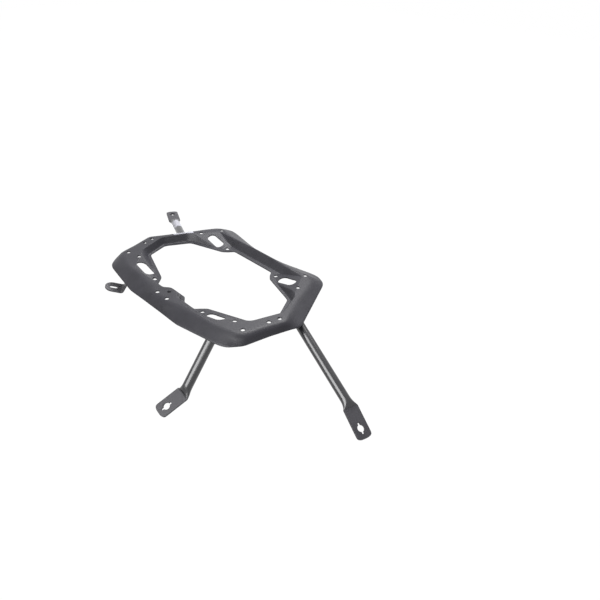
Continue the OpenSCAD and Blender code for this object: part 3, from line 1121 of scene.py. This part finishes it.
@dataclass
class StayLabel:
    """Blank label wrapped over the top of the rear stay; sizes in mm.

    Attributes:
        stay: The stay that carries it.
        gap: Distance between the label and the pinch.
        length: Its length along the tube.
        thick: Thickness of the film.
        lift: Height of its lower side over the tube.
    """

    stay: TubeStay
    gap: float = 2.0
    length: float = 40.0
    thick: float = 0.2
    lift: float = 0.02

    def build(self) -> Piece:
        """Returns the label."""
        along, (side, up) = unit(self.stay.along), sides(self.stay.along, self.stay.across)
        inside = self.stay.tube_d / 2 + self.lift
        turns = np.linspace(math.pi, 2 * math.pi, 33)
        start = self.stay.length - self.stay.pinch - self.gap - self.length
        shell = [(inside + self.thick, t) for t in turns] + [(inside, t) for t in turns[::-1]]
        places = np.linspace(0, self.length, 9)
        points = [
            np.array(self.stay.root) + (start + s) * along + r * (side * math.cos(t) + up * math.sin(t))
            for s in places for r, t in shell
        ]
        faces = tube_faces(len(places), len(shell))
        label = face_outwards(make_mesh("stay_label_film", np.array(points), faces))
        return dress(label, "stay_label", "label_film", Finish.LABEL)


@dataclass
class FoldedBracket:
    """Folded strip: a leg that meets the ring from below and a slotted foot; sizes in mm.

    Attributes:
        fold: Middle of the fold.
        fold_dir: Direction of the fold.
        foot_dir: Direction of the foot.
        leg_dir: Direction of the leg.
        bend: How far the fold's bend reaches along the foot and the leg.
    """

    fold: Point3 = (-113.2, -109.3, -41.8)
    fold_dir: Point3 = (0.77, -0.638, 0)
    foot_dir: Point3 = (-0.638, -0.73, 0.245)
    leg_dir: Point3 = (0.35, 0.38, 0.857)
    width: float = 24.5
    thick: float = 3.0
    foot_l: float = 29.5
    leg_l: float = 48.0
    slot_w: float = 8.0
    slot_l: float = 14.0
    bend: float = 4.0

    def stations(self) -> list[Station]:
        """Returns the sections from the tip of the foot over the fold to the top of the leg."""
        side, out, up = unit(self.fold_dir), unit(self.foot_dir), unit(self.leg_dir)
        corner, half_w, half_t = np.array(self.fold), self.width / 2, self.thick / 2
        square, tip_l, made = 0.12, 12.0, []
        for a in np.radians((4, 10, 18, 28, 40, 52, 64, 76, 88)):
            x = self.foot_l - tip_l + tip_l * math.cos(a)
            made.append((corner + x * out, half_w * math.sin(a)))
        made += [(corner + x * out, half_w) for x in (14, 9, self.bend + 1.5, self.bend + 0.5)]
        curve = bend(corner + self.bend * out, corner, corner + self.bend * up, np.linspace(0.0, 1.0, 11))
        made += [(p, half_w) for p in curve]
        made += [(corner + x * up, half_w) for x in np.linspace(self.bend + 1, self.leg_l, 7)]
        found = []
        for i, (place, half) in enumerate(made):
            before, after = made[max(i - 1, 0)][0], made[min(i + 1, len(made) - 1)][0]
            normal = unit(np.cross(after - before, side))
            found.append(Station(place, side, normal, half, half_t, square))
        return found

    def slot(self) -> Piece:
        """Returns the cutter of the foot's slot."""
        r, half = self.slot_w / 2, (self.slot_l - self.slot_w) / 2
        outline = [(half + x, y) for x, y in arc(r, -90, 90, 20)]
        outline += [(-half + x, y) for x, y in arc(r, 90, 270, 20)]
        past_middle = 1.0
        centre = np.array(self.fold) + (self.foot_l / 2 + past_middle) * unit(self.foot_dir)
        place = axes_at(centre, self.foot_dir, self.fold_dir)
        return prism("foot_slot", outline, place, -self.thick, self.thick)

    def build(self) -> Piece:
        """Returns the finished bracket."""
        bracket = sweep("bracket_body", self.stations(), 48)
        carve(bracket, self.slot())
        carve(bracket, space_over_sheet(*Seat.BRACKET.value))
        return dress(bracket, "bracket", "bracket_paint", Finish.BRACKET)


# The studio


@dataclass
class Viewpoint:
    """The photograph's camera, in mm and pixels of a square picture.

    Attributes:
        focal_px: Focal length in pixels.
        picture_px: Width of the picture in pixels.
        place: Where the camera stands.
        right: Direction of the picture's right.
        down: Direction of the picture's lower edge.
    """

    focal_px: float = 534.06
    picture_px: float = 600.0
    place: Point3 = (608.7, -460.9, 461.8)
    right: Point3 = (0.719, 0.693, 0.044)
    down: Point3 = (0.4164, -0.3796, -0.8253)

    def build(self) -> None:
        """Makes the camera and looks through it."""
        data = bpy.data.cameras.new("viewpoint")
        sensor_mm = 36.0
        data.sensor_width, data.lens = sensor_mm, self.focal_px * sensor_mm / self.picture_px
        data.clip_start, data.clip_end = 0.01, 20.0
        camera = put("viewpoint", data)
        camera.matrix_world = axes_at(np.array(self.place) * MM, self.right, -np.array(self.down))
        bpy.context.scene.camera = camera


@dataclass(frozen=True)
class SoftBox:
    """One rectangular studio lamp, in metres; without diffuse it shows only in glossy surfaces."""

    name: str
    place: Point3
    aim: Point3
    size: Point2
    watts: float
    diffuse: bool = True

    def build(self) -> None:
        """Makes the lamp."""
        data = bpy.data.lights.new(self.name, "AREA")
        data.shape, data.energy = "RECTANGLE", self.watts
        data.size, data.size_y = self.size
        lamp = put(self.name, data)
        lamp.location = self.place
        lamp.visible_diffuse = self.diffuse
        lamp.rotation_euler = (Vector(self.aim) - Vector(self.place)).to_track_quat("-Z", "Y").to_euler()


@dataclass
class Studio:
    """Pale floor, plain world and soft boxes.

    Attributes:
        floor_z: Height of the floor in metres.
        fill: Strength of the world as a light.
        floor_white: Share of plain white in what the camera sees of the floor.
        glow: Strength of that white.
        lamps: The soft boxes.
    """

    floor_z: float = -0.30
    fill: float = 0.07
    floor_white: float = 0.97
    glow: float = 1.035
    lamps: tuple[SoftBox, ...] = (
        SoftBox("key_behind", (-0.50, 1.06, 1.62), (0, 0, 0), (1.5, 1.1), 38.0),
        SoftBox("overhead", (-0.35, -0.05, 1.45), (0, 0, 0), (2.0, 0.22), 11.0),
        SoftBox("right_side", (1.10, -0.80, 0.50), (0.1, 0, 0), (0.8, 0.6), 4.5),
        SoftBox("front_card", (0.18, -1.26, 0.80), (0.1, -0.1, -0.05), (1.45, 1.3), 46.0, diffuse=False),
    )

    def world(self) -> None:
        """Makes the world: white to the camera and in reflections, grey as a light."""
        sheet = ShaderSheet(bpy.data.worlds.new("studio"))
        grey, white = (
            sheet.node("Background", {}, {"Color": (1, 1, 1, 1), "Strength": strength})
            for strength in (self.fill, 1.0)
        )
        both = sheet.node("MixShader", {}, {0: sheet.shown_white(), 1: grey, 2: white})
        bpy.context.scene.world = sheet.end(both, "World")

    def floor(self) -> None:
        """Makes the pale floor, which looks white and keeps a faint shadow."""
        half_m, noise_mm = 6.0, 40.0
        half, z = half_m / MM, self.floor_z / MM
        corners = [(-half, -half, z), (half, -half, z), (half, half, z), (-half, half, z)]
        plane = make_mesh("studio_floor", np.array(corners), [[0, 1, 2, 3]])
        sheet = ShaderSheet(bpy.data.materials.new("pale_floor"))
        pale = sheet.mix(sheet.noise(noise_mm, 2.0), (0.80, 0.80, 0.80, 1), (0.82, 0.82, 0.82, 1))
        body = sheet.node("BsdfDiffuse", {}, {"Color": pale})
        glow = sheet.node("Emission", {}, {"Color": (1, 1, 1, 1), "Strength": self.glow})
        share = sheet.shown_white() * self.floor_white
        both = sheet.node("MixShader", {}, {0: share, 1: body, 2: glow})
        plane.data.materials.append(sheet.end(both))

    def build(self) -> None:
        """Makes world, floor and lamps, and sets plain viewing."""
        self.world()
        self.floor()
        for lamp in self.lamps:
            lamp.build()
        bpy.context.scene.view_settings.view_transform = "Standard"


def stays() -> dict[str, TubeStay]:
    """Returns the three stays by name."""
    front = TubeStay(
        "front_stay", root=(174.3, 20.3, -25.1), along=(0.9007, -0.2096, -0.3803), length=144.1, inner=45,
        flat=(0.844, -0.248, -0.474), across=(0.32, 0.94, 0.06), flat_l=49, key=33.9, seat=Seat.FRONT,
        limit=((138, -300), (500, -300), (500, 20), (138, 20)),
    )
    rear = TubeStay(
        "rear_stay", root=(-204.5, 71.3, -27.8), along=(-0.8893, 0.4346, -0.1423), length=64.7, inner=80,
        flat=(-0.881, 0.469, -0.1054), across=(0.467, 0.878, 0), flat_l=55.5, key=39, seat=Seat.REAR,
        limit=((-400, -66), (-224, -66), (-134, -14), (-134, 20), (-400, 20)),
    )
    lower = TubeStay(
        "lower_stay", root=(119, -107, -20), along=(-0.002, -0.608, -0.794), length=83, inner=26,
        flat=(-0.215, -0.870, -0.443), across=(0.952, -0.066, -0.300), flat_l=45, key=30.5, seat=Seat.LOWER,
    )
    return {"front": front, "rear": rear, "lower": lower}


def main() -> None:
    """Builds every piece, then the studio."""
    logging.basicConfig(level=logging.INFO, format="%(name)s: %(message)s")
    rods = stays()
    parts = [PressedRing(), FoldedBracket(), RingLabel(), *rods.values(), StayLabel(rods["rear"])]
    for part in parts:
        piece = part.build()
        volume = mesh_volume(piece) * CM3_IN_M3
        log.info("%s: %d faces, volume %.1f cm3", piece.name, len(piece.data.polygons), volume)
    Viewpoint().build()
    Studio().build()


if __name__ == "__main__":
    main()
